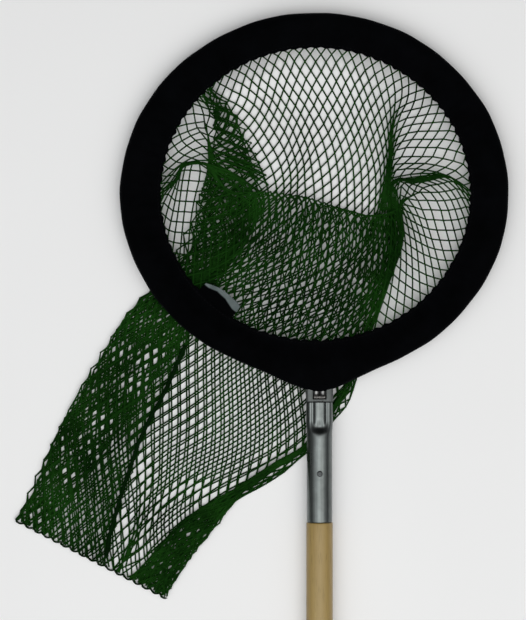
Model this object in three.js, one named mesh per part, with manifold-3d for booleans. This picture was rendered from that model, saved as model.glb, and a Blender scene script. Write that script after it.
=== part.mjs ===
// A landing net with a padded hoop, lying on its bag: a steel rod bent to a hoop, foam and a fabric cover round it,
// a knotless net bag bound to the cover's inner edge, a pressed steel ferrule and a round wooden handle.
//
// Millimetres, +Z up. The handle lies along Y: the origin is the centre of its butt face and the hoop is at +Y.
// The hoop's plane is z = 0, and the bag's underside is the lowest face, at z = FLOOR.
import * as THREE from "three";
import { mergeVertices } from "three/addons/utils/BufferGeometryUtils.js";
import Module from "manifold-3d";

const wasm = await Module();
wasm.setup();

// ---- driving dimensions ----
const GAP = 0.3; // between pieces that touch
const RING_STEPS = 48; // facets round the hoop, the same on every ring so that nested rings stay clear

const HANDLE = { radius: 13.25, shown: 510, buttChamfer: 3, buttEase: 0.9 };
const TENON = { length: 84, radius: 11.1, chamfer: 2 }; // the handle's turned-down end, inside the ferrule
const FERRULE = { radius: 12.7, wall: 1.2, length: 120.2, mouthChamfer: 0.5, mouthEase: 1.5 };
// How the ferrule's upper end is pressed flat: lengths in millimetres, and depths as shares of its height.
const PRESS = {
  length: 32,
  ramp: 13,
  step: 3,
  spread: 0.05,
  flat: 0.22,
  ridge: { width: 6, depth: 0.14 },
  groove: { x: 6.6, width: 2.2, depth: 0.16 },
  dimple: { above: 8, length: 5, width: 5, depth: 0.2 },
};
const COLLAR = { length: 20, halfWidth: 13.6, halfDepth: 6, corner: 3.5 };
const NOTCH = { above: 2.5, floor: 1.8 }; // the collar's opening over the shanks: its foot and its floor's height
const WELD = { radius: 1.6, length: 9, above: 4.5 };
const SCREW = { y: 559, shankRadius: 1.75, headRadius: 3, headHeight: 1.3, length: 16, point: 3, slot: 0.8 };
const SCREW_HOLE = { above: 2, below: 1 }; // how far the hole is cut past the ferrule and the screw's point

const HOOP = { x: -4, y: 838, squash: 0.945, rodCircle: 177.5, rodRadius: 3 };
const SHANK = { spacing: 6.6, end: 616, bendStart: 14, bendCorner: 1, leavesAt: -83, returnsAt: 262 };
const PAD = { halfWidth: 17, halfDepth: 13, coverWall: 1 }; // the padded tube's section, cover included
const THROAT = { halfWidth: 36, halfLength: 21, halfDepth: 12.6, below: 5 }; // the cover's swelling at the neck
const TAPE = { innerRadius: 154.5, halfDepth: 1.8, wall: 0.9, corner: 0.8, clear: 0.5 };
const MOUTH_CORD = { radius: 0.7, inset: 2.2 };
const LABEL = { angle: 229.5, span: 17, depth: 15.5, thickness: 0.6, inset: 1 }; // angles round the hoop, in degrees

const NET_UNDER = 2.1; // the bag's thickness where the hoop and ferrule lie on it
const NET_INSIDE = 3; // its thickness inside the hoop
const NET_TAIL = 6; // its thickness beside the hoop, where it lies folded
const FLOOR = -(PAD.halfDepth + GAP + NET_UNDER);
const SKIRT = { footRadius: 140, footWidth: 4, footHeight: 1.5, wall: 1.6, top: -0.6 };
const NECK_ROOM = { width: 30, length: 40, above: 8 }; // the space cut from the foam round the collar
const NECK_HOLE = 10; // how far the cover's hole for the collar runs on past the collar's foot
const THROAT_OVERLAP = 7; // how far the bag's part under the hoop starts outside the skirt's foot
const SEAM = { radius: 1.5, lift: 0.5 };

const ferruleTop = HANDLE.shown + FERRULE.length;
const collarBottom = ferruleTop + GAP;
const padOuterRadius = HOOP.rodCircle + PAD.halfWidth;
const hoopFoot = HOOP.y - HOOP.squash * HOOP.rodCircle; // the rod circle's lowest point

// ---- helpers ----
const radians = THREE.MathUtils.degToRad;

// A mesh's geometry as a manifold-3d solid, for a cut or a join.
function solid(geometry) {
  const bare = geometry.clone();
  bare.deleteAttribute("normal");
  bare.deleteAttribute("uv");
  const merged = mergeVertices(bare, 1e-4);
  return new wasm.Manifold(
    new wasm.Mesh({
      numProp: 3,
      vertProperties: merged.attributes.position.array,
      triVerts: new Uint32Array(merged.index ? merged.index.array : merged.attributes.position.count),
    }),
  );
}

function geometryOf(made) {
  const mesh = made.getMesh();
  return new THREE.BufferGeometry()
    .setAttribute("position", new THREE.BufferAttribute(new Float32Array(mesh.vertProperties), 3))
    .setIndex(new THREE.BufferAttribute(new Uint32Array(mesh.triVerts), 1));
}

// A path through given points, stepped at those points, so that bends can have closer ones than straights.
class Path extends THREE.Curve {
  constructor(points) {
    super();
    this.points = points;
  }
  getPoint(t) {
    const at = t * (this.points.length - 1);
    const i = Math.min(Math.floor(at), this.points.length - 2);
    return this.points[i].clone().lerp(this.points[i + 1], at - i);
  }
  getPointAt(t) {
    return this.getPoint(t);
  }
  getTangentAt(t) {
    const reach = 0.5 / (this.points.length - 1);
    const before = this.getPoint(Math.max(t - reach, 0));
    return this.getPoint(Math.min(t + reach, 1)).sub(before).normalize();
  }
}

function tube(points, radius, sides = 8) {
  const section = new THREE.Shape();
  section.setFromPoints(
    Array.from({ length: sides }, (_, i) => {
      const a = (2 * Math.PI * i) / sides;
      return new THREE.Vector2(radius * Math.cos(a), radius * Math.sin(a));
    }),
  );
  return new THREE.ExtrudeGeometry(section, { steps: points.length - 1, extrudePath: new Path(points) });
}

// Flattens a round piece about the origin to the hoop's oval, and moves it to the hoop.
function toHoop(geometry, z = 0) {
  return geometry.scale(1, HOOP.squash, 1).translate(HOOP.x, HOOP.y, z);
}

// A closed profile of [radius, z] points turned round the hoop's axis.
function ringAround(profile) {
  const closed = [...profile, profile[0]].map(([r, z]) => new THREE.Vector2(r, z));
  return toHoop(new THREE.LatheGeometry(closed, RING_STEPS).rotateX(Math.PI / 2));
}

function ovalProfile(radius, halfWidth, halfDepth, points) {
  return Array.from({ length: points }, (_, i) => {
    const a = (2 * Math.PI * (i + 0.5)) / points;
    return [radius + halfWidth * Math.cos(a), halfDepth * Math.sin(a)];
  });
}

// A flat plate inside the hoop's oval at that radius, from z low to z high.
function ovalPlate(radius, low, high) {
  const disc = new THREE.CylinderGeometry(radius, radius, high - low, RING_STEPS).rotateX(Math.PI / 2);
  return toHoop(disc, (low + high) / 2);
}

function plate(points, low, high) {
  const shape = new THREE.Shape(points.map(([x, y]) => new THREE.Vector2(x, y)));
  return new THREE.ExtrudeGeometry(shape, { depth: high - low, bevelEnabled: false }).translate(0, 0, low);
}

// The point at an angle round the hoop, in degrees from +X, at a radius before the oval is flattened.
function onHoop(angle, radius, z = 0) {
  const a = radians(angle);
  return new THREE.Vector3(HOOP.x + radius * Math.cos(a), HOOP.y + HOOP.squash * radius * Math.sin(a), z);
}

// ---- handle and ferrule ----
function handle() {
  const { radius, shown, buttChamfer, buttEase } = HANDLE;
  const profile = [
    [0, 0],
    [radius - buttChamfer, 0],
    [radius - buttEase, buttEase],
    [radius, buttChamfer],
    [radius, shown - GAP],
    [TENON.radius, shown - GAP],
    [TENON.radius, shown + TENON.length - TENON.chamfer],
    [TENON.radius - TENON.chamfer, shown + TENON.length],
    [0, shown + TENON.length],
  ];
  const turned = new THREE.LatheGeometry(profile.map(([r, y]) => new THREE.Vector2(r, y)), 32);
  return geometryOf(solid(turned).subtract(screwHole()));
}

function screwHole() {
  const { y, shankRadius, length } = SCREW;
  const top = FERRULE.radius + SCREW_HOLE.above;
  const depth = SCREW_HOLE.above + length + SCREW_HOLE.below;
  const drill = new THREE.CylinderGeometry(shankRadius + GAP, shankRadius + GAP, depth, 16);
  return solid(drill.rotateX(Math.PI / 2).translate(0, y, top - depth / 2));
}

function screw() {
  const { y, shankRadius, headRadius, headHeight, length, point } = SCREW;
  const seat = FERRULE.radius + GAP;
  const profile = [
    [0, seat - length],
    [shankRadius, seat - length + point],
    [shankRadius, seat],
    [headRadius, seat],
    [headRadius, seat + 0.3 * headHeight],
    [0.6 * headRadius, seat + 0.85 * headHeight],
    [0, seat + headHeight],
  ];
  const turned = new THREE.LatheGeometry(profile.map(([r, z]) => new THREE.Vector2(r, z)), 16);
  const slot = new THREE.BoxGeometry(2 * headRadius + 1, SCREW.slot, 1).translate(0, 0, seat + headHeight);
  turned.rotateX(Math.PI / 2);
  return geometryOf(solid(turned).subtract(solid(slot))).translate(0, y, 0);
}

// The ferrule's upper end is pressed flat over the hoop's two shanks: side lobes, a groove each side of a middle
// ridge, and a dimple where the pressing starts.
function pressed(geometry) {
  const { ramp, spread, flat, ridge, groove, dimple } = PRESS;
  const start = ferruleTop - PRESS.length;
  const hump = (offset, width) => Math.exp(-((offset / width) ** 2));
  const at = geometry.attributes.position;
  for (let i = 0; i < at.count; i++) {
    const [x, y, z] = [at.getX(i), at.getY(i), at.getZ(i)];
    const amount = THREE.MathUtils.smoothstep(y, start, start + ramp);
    const sides = groove.depth * hump(Math.abs(x) - groove.x, groove.width);
    const middle = ridge.depth * hump(x, ridge.width);
    const dent = dimple.depth * hump(y - start - dimple.above, dimple.length) * hump(x, dimple.width);
    at.setXYZ(i, x * (1 + spread * amount), y, z * (1 - amount * (flat + middle + sides) - dent));
  }
  return geometry;
}

function ferrule() {
  const { radius, wall, mouthChamfer, mouthEase } = FERRULE;
  const start = ferruleTop - PRESS.length;
  const heights = [HANDLE.shown, HANDLE.shown + mouthEase, start - PRESS.dimple.length];
  for (let y = start; y < ferruleTop; y += PRESS.step) heights.push(y);
  heights.push(ferruleTop);
  const outer = heights.map((y, i) => new THREE.Vector2(i ? radius : radius - mouthChamfer, y));
  const inner = heights.toReversed().map((y) => new THREE.Vector2(radius - wall, y));
  const shell = pressed(new THREE.LatheGeometry([...inner, ...outer, inner[0]], 40));
  return geometryOf(solid(shell).subtract(screwHole()));
}

function collar() {
  const { length, halfWidth, halfDepth, corner } = COLLAR;
  const shape = new THREE.Shape();
  for (const [sx, sz, turn] of [
    [1, 1, 0],
    [-1, 1, 1],
    [-1, -1, 2],
    [1, -1, 3],
  ]) {
    const a = (turn * Math.PI) / 2;
    shape.absarc(sx * (halfWidth - corner), sz * (halfDepth - corner), corner, a, a + Math.PI / 2, false);
  }
  const bore = new THREE.Path();
  const shank = SHANK.spacing / 2;
  const clear = HOOP.rodRadius + GAP;
  bore.absarc(shank, 0, clear, Math.PI / 2, -Math.PI / 2, true);
  bore.absarc(-shank, 0, clear, -Math.PI / 2, -1.5 * Math.PI, true);
  shape.holes.push(bore);
  const block = new THREE.ExtrudeGeometry(shape, { depth: length, bevelEnabled: false, curveSegments: 5 });
  block.rotateX(Math.PI / 2).translate(0, collarBottom + length, 0);
  const notchWidth = SHANK.spacing + 2 * HOOP.rodRadius + 1;
  const notch = new THREE.BoxGeometry(notchWidth, length, halfDepth * 2);
  notch.translate(0, collarBottom + length / 2 + NOTCH.above, halfDepth + NOTCH.floor);
  return geometryOf(solid(block).subtract(solid(notch)));
}

// The weld that ties the two shanks to the collar, across the bottom of its notch.
function weldBead() {
  const bead = new THREE.CapsuleGeometry(WELD.radius, WELD.length, 3, 8).rotateZ(Math.PI / 2);
  return bead.translate(0, collarBottom + WELD.above, HOOP.rodRadius + GAP + WELD.radius);
}

// ---- hoop ----
// One shank's centreline points, up from its end and round the bend into the hoop. side is 1 on the +X side.
function shankPoints(side, hoopAngle) {
  const x = (side * SHANK.spacing) / 2;
  const bendStart = new THREE.Vector3(x, hoopFoot - SHANK.bendStart, 0);
  const corner = new THREE.Vector3(x, hoopFoot - SHANK.bendCorner, 0);
  const bend = new THREE.QuadraticBezierCurve3(bendStart, corner, onHoop(hoopAngle, HOOP.rodCircle));
  return [new THREE.Vector3(x, SHANK.end, 0), ...bend.getPoints(6)];
}

function hoopPoints() {
  const { leavesAt: from, returnsAt: to } = SHANK;
  const steps = RING_STEPS + 4;
  const round = [];
  for (let i = 1; i < steps; i++) round.push(onHoop(from + ((to - from) * i) / steps, HOOP.rodCircle));
  return [...shankPoints(1, from), ...round, ...shankPoints(-1, to).reverse()];
}

function padSolid(inset) {
  const profile = ovalProfile(HOOP.rodCircle, PAD.halfWidth - inset, PAD.halfDepth - inset, 12);
  return solid(ringAround(profile));
}

// The cover is drawn down round the shanks to the collar.
function throatSolid(inset) {
  const ball = new THREE.SphereGeometry(1, 24, 12);
  ball.scale(THROAT.halfWidth - inset, THROAT.halfLength - inset, THROAT.halfDepth - inset);
  return solid(ball.translate(0, hoopFoot - THROAT.below, 0));
}

function hoopFoam() {
  const bore = solid(tube(hoopPoints(), HOOP.rodRadius + GAP));
  const room = new THREE.BoxGeometry(NECK_ROOM.width, NECK_ROOM.length, 2 * PAD.halfDepth);
  room.translate(0, HOOP.y - HOOP.squash * padOuterRadius + NECK_ROOM.above, 0);
  return geometryOf(padSolid(PAD.coverWall + GAP).subtract(bore).subtract(solid(room)));
}

function hoopCover() {
  const outer = padSolid(0).add(throatSolid(0));
  const inner = padSolid(PAD.coverWall).add(throatSolid(PAD.coverWall));
  const { halfWidth, halfDepth, length } = COLLAR;
  const neck = new THREE.BoxGeometry(2 * (halfWidth + GAP), length + NECK_HOLE, 2 * (halfDepth + GAP));
  neck.translate(0, collarBottom + (length - NECK_HOLE) / 2 + GAP, 0);
  return geometryOf(outer.subtract(inner).subtract(solid(neck)));
}

// A tape folded over the bag's mouth, sewn to the cover's inner edge.
function bindingTape() {
  const { innerRadius: r, halfDepth: h, wall, corner } = TAPE;
  const edge = HOOP.rodCircle - PAD.halfWidth - TAPE.clear;
  return ringAround([
    [edge, h],
    [r + corner, h],
    [r, h - corner],
    [r, -h + corner],
    [r + corner, -h],
    [edge, -h],
    [edge, -h + wall],
    [r + wall, -h + wall],
    [r + wall, h - wall],
    [edge, h - wall],
  ]);
}

function mouthCord() {
  const radius = TAPE.innerRadius + TAPE.wall + MOUTH_CORD.inset;
  return toHoop(new THREE.TorusGeometry(radius, MOUTH_CORD.radius, 6, RING_STEPS));
}

// A blank label sewn along the tape, bent to the hoop's curve.
function label() {
  const outer = TAPE.innerRadius - LABEL.inset;
  const inner = outer - LABEL.depth;
  const from = LABEL.angle - LABEL.span / 2;
  const steps = 8;
  const place = (i) => from + (LABEL.span * i) / steps;
  const edge = (radius) => Array.from({ length: steps + 1 }, (_, i) => onHoop(place(i), radius));
  const points = [...edge(outer), ...edge(inner).reverse()].map((p) => [p.x, p.y]);
  return plate(points, -LABEL.thickness / 2, LABEL.thickness / 2);
}

// ---- net bag ----
// Where the bag lies beside the hoop, from the hoop's left side round its far end and under the ferrule.
const bagEndLeft = [-305, 513];
const bagEndRight = [-163, 437];
const BAG_OUTLINE = [
  [-148, 795],
  [-169, 750],
  [-198, 719],
  [-232, 655],
  bagEndLeft,
  bagEndRight,
  [-126, 472],
  [-88, 521],
  [-48, 549],
  [-15, 567],
  [16, 607],
  [31, 628],
  [48, 652],
  [30, 730],
];
const UNDER_FERRULE_X = -17; // right of this the bag lies under the ferrule, and is thin

function underFrame(grow) {
  const ring = solid(ovalPlate(padOuterRadius + 1 + grow, FLOOR - 1, 1));
  const strip = new THREE.BoxGeometry(200, 400, 40);
  return ring.add(solid(strip.translate(UNDER_FERRULE_X - grow + 100, HOOP.y - 200, FLOOR + 10)));
}

function bagMouth() {
  return ovalPlate(SKIRT.footRadius - SKIRT.footWidth - GAP, FLOOR, FLOOR + NET_INSIDE);
}

function bagSkirt() {
  const { footRadius, footWidth, footHeight, wall, top } = SKIRT;
  const rim = TAPE.innerRadius - TAPE.clear;
  return ringAround([
    [rim - wall, top],
    [footRadius - footWidth, FLOOR + footHeight],
    [footRadius - footWidth, FLOOR],
    [footRadius, FLOOR],
    [rim, top - 1],
    [rim, top],
  ]);
}

function bagThroat() {
  const sheet = solid(plate(BAG_OUTLINE, FLOOR, FLOOR + NET_UNDER));
  const inside = solid(ovalPlate(SKIRT.footRadius + THROAT_OVERLAP, FLOOR - 1, 1));
  return geometryOf(sheet.intersect(underFrame(0)).subtract(inside));
}

function bagTail() {
  const pad = solid(plate(BAG_OUTLINE, FLOOR, FLOOR + NET_TAIL));
  return geometryOf(pad.subtract(underFrame(GAP)));
}

function sideSeam() {
  const z = FLOOR + NET_TAIL + GAP + SEAM.radius;
  const route = new THREE.CatmullRomCurve3([
    new THREE.Vector3(-141, 679, z),
    new THREE.Vector3(-163, 628, z),
    new THREE.Vector3(-187, 565, z),
    new THREE.Vector3(-206, 475, z),
  ]);
  return tube(route.getPoints(16), SEAM.radius);
}

function bottomSeam() {
  const z = FLOOR + SEAM.radius + SEAM.lift;
  const a = new THREE.Vector3(...bagEndLeft, z);
  const b = new THREE.Vector3(...bagEndRight, z);
  const away = new THREE.Vector3(b.y - a.y, a.x - b.x, 0).normalize();
  away.multiplyScalar(SEAM.radius + GAP);
  const points = Array.from({ length: 9 }, (_, i) => a.clone().lerp(b, i / 8).add(away));
  return tube(points, SEAM.radius);
}

// ---- materials and assembly ----
const finish = (color, roughness, metalness) => new THREE.MeshStandardMaterial({ color, roughness, metalness });
const wood = finish(0xb99a5b, 0.55, 0);
const zincSteel = finish(0x8f9898, 0.38, 0.9);
const rodSteel = finish(0x9a9c9c, 0.35, 0.9);
const screwSteel = finish(0x4a4f4f, 0.5, 0.8);
const foam = finish(0x1c1c1e, 0.95, 0);
const blackFabric = finish(0x050506, 0.92, 0);
const greenNet = finish(0x12340f, 0.75, 0);
const greenTwine = finish(0x0a240a, 0.8, 0);
const whiteLabel = finish(0xb8c2c2, 0.7, 0);

const net = new THREE.Group();
for (const [name, geometry, material] of [
  ["handle", handle(), wood],
  ["ferrule", ferrule(), zincSteel],
  ["handle_screw", screw(), screwSteel],
  ["neck_collar", collar(), zincSteel],
  ["weld_bead", weldBead(), rodSteel],
  ["hoop_rod", tube(hoopPoints(), HOOP.rodRadius), rodSteel],
  ["hoop_foam", hoopFoam(), foam],
  ["hoop_cover", hoopCover(), blackFabric],
  ["binding_tape", bindingTape(), blackFabric],
  ["mouth_cord", mouthCord(), greenTwine],
  ["blank_label", label(), whiteLabel],
  ["net_bag_mouth", bagMouth(), greenNet],
  ["net_bag_skirt", bagSkirt(), greenNet],
  ["net_bag_throat", bagThroat(), greenNet],
  ["net_bag_tail", bagTail(), greenNet],
  ["net_side_seam", sideSeam(), greenTwine],
  ["net_bottom_seam", bottomSeam(), greenTwine],
]) {
  const mesh = new THREE.Mesh(geometry, material);
  mesh.name = name;
  net.add(mesh);
}

export default net;
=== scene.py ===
"""A landing net lying on a pale floor: padded hoop, knotless bag, steel ferrule and wooden handle.

Metres, in the frame of the CAD model: the handle lies along Y with its butt at the origin, and +Z is up.
"""
import math

import bmesh
import bpy
import numpy as np
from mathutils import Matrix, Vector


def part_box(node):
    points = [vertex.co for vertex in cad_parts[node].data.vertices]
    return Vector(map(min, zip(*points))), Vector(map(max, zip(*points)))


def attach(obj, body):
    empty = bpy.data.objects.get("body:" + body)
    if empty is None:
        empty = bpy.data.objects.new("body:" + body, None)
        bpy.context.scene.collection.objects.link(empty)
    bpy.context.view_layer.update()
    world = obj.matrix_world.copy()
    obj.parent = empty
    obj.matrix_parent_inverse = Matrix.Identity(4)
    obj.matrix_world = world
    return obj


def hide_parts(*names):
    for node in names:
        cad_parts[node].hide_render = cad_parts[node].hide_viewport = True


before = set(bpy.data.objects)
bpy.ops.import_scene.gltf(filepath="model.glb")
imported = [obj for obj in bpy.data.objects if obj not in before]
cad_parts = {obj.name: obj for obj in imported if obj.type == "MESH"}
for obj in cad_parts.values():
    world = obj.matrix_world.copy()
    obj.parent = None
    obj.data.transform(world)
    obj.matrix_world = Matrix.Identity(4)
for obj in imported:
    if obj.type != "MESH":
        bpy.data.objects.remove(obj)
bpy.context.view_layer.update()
BODY = "root"
MM = 0.001

# ---- places and sizes taken from the frame ----
tape_low, tape_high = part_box("binding_tape")
cover_low, cover_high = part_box("hoop_cover")
collar_low, collar_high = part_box("neck_collar")
ferrule_low, ferrule_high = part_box("ferrule")
handle_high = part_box("handle")[1]
rod_low, rod_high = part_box("hoop_rod")
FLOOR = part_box("net_bag_tail")[0].z
HOOP_X = (tape_low.x + tape_high.x) / 2
HOOP_Y = (tape_low.y + tape_high.y) / 2
SQUASH = (tape_high.y - tape_low.y) / (tape_high.x - tape_low.x)
COVER_OUTER = (cover_high.x - cover_low.x) / 2
COVER_DEPTH = cover_high.z
COLUMNS = 94  # whole meshes round the bag's mouth
OPENING = 154.5 * MM  # from the hoop's centre to the binding's inner edge, on the X axis
ROD_RADIUS = rod_high.z
ROD_CIRCLE = rod_high.x - ROD_RADIUS - HOOP_X  # the rod's centre line, on the X axis
PRESS_SPREAD = 0.05  # how much wider the ferrule gets where it is pressed, as a share
FERRULE_RADIUS = (ferrule_high.x - ferrule_low.x) / 2 / (1 + PRESS_SPREAD)
HANDLE_RADIUS = handle_high.z


# ---- mesh helpers ----
UV_RADIUS = 2 * MM  # a swept tube's UVs run round it as if it had this radius


def mesh_object(name, vertices, faces, material, uv=None):
    """A new smooth-shaded mesh. uv is one (u, v) for each vertex, in metres along and across the surface."""
    mesh = bpy.data.meshes.new(name)
    mesh.from_pydata([tuple(v) for v in np.asarray(vertices).tolist()], [], faces)
    if uv is not None:
        layer = mesh.uv_layers.new(name="UVMap")
        corner = np.empty(len(mesh.loops), dtype=np.int32)
        mesh.loops.foreach_get("vertex_index", corner)
        layer.data.foreach_set("uv", np.asarray(uv, dtype=np.float32)[corner].ravel())
    mesh.materials.append(material)
    mesh.polygons.foreach_set("use_smooth", [True] * len(mesh.polygons))
    mesh.update()
    piece = bpy.data.objects.new(name, mesh)
    bpy.context.scene.collection.objects.link(piece)
    return piece


def grid_faces(rows, columns, wrap_rows=False, wrap_columns=False):
    """Quads over a rows by columns grid of vertices, closed on itself where asked."""
    faces = []
    for i in range(rows if wrap_rows else rows - 1):
        for j in range(columns if wrap_columns else columns - 1):
            i2, j2 = (i + 1) % rows, (j + 1) % columns
            faces.append((i * columns + j, i2 * columns + j, i2 * columns + j2, i * columns + j2))
    return faces


def unit(vectors):
    """The vectors, each made 1 long."""
    return vectors / np.maximum(np.linalg.norm(vectors, axis=-1), 1e-6)[..., None]


def swept(name, path, radius, material, sides=16):
    """A closed round tube along a path of points, with flat ends."""
    path = np.asarray(path, dtype=float)
    tangent = unit(np.gradient(path, axis=0))
    side = unit(np.cross(tangent, (0, 0, 1.0)))
    top = np.cross(side, tangent)
    angle = np.linspace(0, 2 * np.pi, sides, endpoint=False)
    ring = np.cos(angle)[None, :, None] * side[:, None] + np.sin(angle)[None, :, None] * top[:, None]
    vertices = (path[:, None] + radius * ring).reshape(-1, 3)
    faces = [f[::-1] for f in grid_faces(len(path), sides, wrap_columns=True)]
    faces.append(tuple(range(sides)))
    faces.append(tuple(range(len(vertices) - 1, len(vertices) - sides - 1, -1)))
    along = np.concatenate([[0], np.cumsum(np.linalg.norm(np.diff(path, axis=0), axis=1))])
    uv = np.stack(np.meshgrid(along, angle * UV_RADIUS, indexing="ij"), axis=-1).reshape(-1, 2)
    return fix_normals(mesh_object(name, vertices, faces, material, uv))


def turned(name, profile, material, sides=96):
    """A solid turned round the Y axis. profile is a list of (radius, y), from axis to axis."""
    angle = np.linspace(0, 2 * np.pi, sides, endpoint=False)
    vertices = [(0, profile[0][1], 0)]
    for radius, y in profile[1:-1]:
        vertices += [(radius * math.cos(a), y, radius * math.sin(a)) for a in angle]
    vertices.append((0, profile[-1][1], 0))
    rings = len(profile) - 2
    faces = [tuple(k + 1 for k in f) for f in grid_faces(rings, sides, wrap_columns=True)]
    last = 1 + (rings - 1) * sides
    faces += [(0, 1 + k, 1 + (k + 1) % sides) for k in range(sides)]
    faces += [(last + k, len(vertices) - 1, last + (k + 1) % sides) for k in range(sides)]
    return fix_normals(mesh_object(name, vertices, faces, material))


def fix_normals(piece):
    """Turns every face of a closed mesh outwards."""
    shape = bmesh.new()
    shape.from_mesh(piece.data)
    bmesh.ops.recalc_face_normals(shape, faces=shape.faces)
    shape.to_mesh(piece.data)
    shape.free()
    return piece


def worn_copy(node, name, material, voxel, rounds):
    """A copy of a CAD node with its edges rounded as a press and years of use leave them."""
    piece = bpy.data.objects.new(name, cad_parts[node].data.copy())
    bpy.context.scene.collection.objects.link(piece)
    piece.data.materials.clear()
    piece.data.materials.append(material)
    remesh = piece.modifiers.new("remesh", "REMESH")
    remesh.mode = "VOXEL"
    remesh.voxel_size = voxel
    remesh.use_smooth_shade = True
    smooth = piece.modifiers.new("smooth", "SMOOTH")
    smooth.iterations = rounds
    apply_modifiers(piece)
    return piece


def apply_modifiers(piece):
    """Makes the piece's modifiers part of its mesh."""
    graph = bpy.context.evaluated_depsgraph_get()
    made = bpy.data.meshes.new_from_object(piece.evaluated_get(graph))
    piece.modifiers.clear()
    piece.data = made


def settle(piece, slot, *nodes):
    """Rides the piece on the net's one body, as the thing that stands for those CAD nodes."""
    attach(piece, BODY)
    if nodes:
        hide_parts(*nodes)
    return piece


def smoothstep(value, low, high):
    """0 below low and 1 above high, with a smooth rise between them."""
    t = np.clip((value - low) / (high - low), 0, 1)
    return t * t * (3 - 2 * t)


def ripple(angle, waves, seed):
    """A smooth closed noise round the hoop, from -1 to 1: a sum of waves with seeded sizes and phases."""
    random = np.random.default_rng(seed)
    size = random.uniform(0.4, 1, len(waves))
    phase = random.uniform(0, 2 * np.pi, len(waves))
    total = sum(s * np.sin(n * angle + p) for n, s, p in zip(waves, size, phase))
    return total / size.sum()


# ---- material helpers ----
class Shader:
    """A principled material and short ways to add nodes to it."""

    def __init__(self, name, **settings):
        self.material = bpy.data.materials.new(name)
        self.material.use_nodes = True
        self.tree = self.material.node_tree
        self.surface = self.tree.nodes["Principled BSDF"]
        for key, value in settings.items():
            self.surface.inputs[key.replace("_", " ")].default_value = value

    def node(self, kind, inputs=None, **properties):
        made = self.tree.nodes.new("ShaderNode" + kind)
        for key, value in properties.items():
            setattr(made, key, value)
        for key, value in (inputs or {}).items():
            if isinstance(value, bpy.types.NodeSocket):
                self.tree.links.new(value, made.inputs[key])
            else:
                made.inputs[key].default_value = value
        return made

    def place(self, scale=(1, 1, 1), source="Object"):
        coordinates = self.node("TexCoord").outputs[source]
        return self.node("Mapping", {"Vector": coordinates, "Scale": scale}).outputs["Vector"]

    def noise(self, where, scale, detail=4.0, roughness=0.55):
        inputs = {"Vector": where, "Scale": scale, "Detail": detail, "Roughness": roughness}
        return self.node("TexNoise", inputs).outputs["Fac"]

    def ramp(self, value, *stops):
        """stops are (position, colour or grey level)."""
        made = self.node("ValToRGB", {"Fac": value})
        elements = made.color_ramp.elements
        while len(elements) < len(stops):
            elements.new(0.5)
        for element, (position, colour) in zip(elements, stops):
            element.position = position
            grey = not hasattr(colour, "__len__")
            element.color = (colour, colour, colour, 1) if grey else (*colour, 1)
        return made.outputs["Color"]

    def wave(self, pitch, scale, direction, source="UV"):
        where = self.place((1 / pitch,) * 3, source)
        inputs = {"Vector": where, "Scale": scale}
        return self.node("TexWave", inputs, bands_direction=direction).outputs["Fac"]

    def blend(self, a, share_a, b, share_b):
        return self.maths("ADD", self.maths("MULTIPLY", a, share_a), self.maths("MULTIPLY", b, share_b))

    def maths(self, operation, a, b):
        made = self.tree.nodes.new("ShaderNodeMath")
        made.operation = operation
        for socket, value in zip(made.inputs, (a, b)):
            if isinstance(value, bpy.types.NodeSocket):
                self.tree.links.new(value, socket)
            else:
                socket.default_value = value
        return made.outputs["Value"]

    def set(self, name, value):
        self.tree.links.new(value, self.surface.inputs[name])

    def bump(self, height, distance, strength=1.0):
        inputs = {"Height": height, "Distance": distance, "Strength": strength}
        self.set("Normal", self.node("Bump", inputs).outputs["Normal"])


# ---- materials ----
def cover_cloth():
    """Black plain-weave cover cloth, with a faint cool sheen and a little lint and dust in it."""
    sheen = {"Sheen_Weight": 0.01, "Sheen_Roughness": 0.4, "Sheen_Tint": (0.55, 0.62, 0.8, 1)}
    made = Shader("cover_cloth", Specular_IOR_Level=0.02, **sheen)
    weave = made.maths("MAXIMUM", made.wave(1.1 * MM, 0.32, "X"), made.wave(1.1 * MM, 0.32, "Y"))
    blotch = made.noise(made.place(), 38.0, 5.0)
    fine = made.noise(made.place(), 900.0, 3.0)
    black, worn = (0.0005, 0.0006, 0.0008), (0.0014, 0.0016, 0.0022)
    made.set("Base Color", made.ramp(blotch, (0.3, black), (0.75, worn)))
    made.set("Roughness", made.ramp(fine, (0.2, 0.78), (0.8, 0.96)))
    made.bump(made.maths("ADD", weave, made.maths("MULTIPLY", fine, 0.6)), 0.18 * MM, 0.6)
    return made.material


def seam_thread():
    """Black twisted sewing thread."""
    made = Shader("seam_thread", Specular_IOR_Level=0.05, Roughness=0.7)
    twist = made.wave(MM, 0.9, "DIAGONAL", "Object")
    made.set("Base Color", made.ramp(twist, (0.0, (0.0012, 0.0012, 0.0015)), (1.0, (0.006, 0.006, 0.0075))))
    made.bump(twist, 0.1 * MM)
    return made.material


def net_twine(name, dark, light):
    """Braided green twine, UV-mapped along each strand so that the braid's plaits run across it."""
    made = Shader(name, Specular_IOR_Level=0.02)
    braid = made.wave(1.3 * MM, 0.5, "DIAGONAL")
    patch = made.noise(made.place(), 16.0, 4.0)
    fine = made.noise(made.place(), 420.0, 3.0)
    shade = made.blend(patch, 0.6, fine, 0.4)
    made.set("Base Color", made.ramp(shade, (0.34, dark), (0.66, light)))
    made.set("Roughness", made.ramp(fine, (0.2, 0.55), (0.8, 0.8)))
    made.bump(braid, 0.14 * MM, 0.7)
    return made.material


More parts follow.
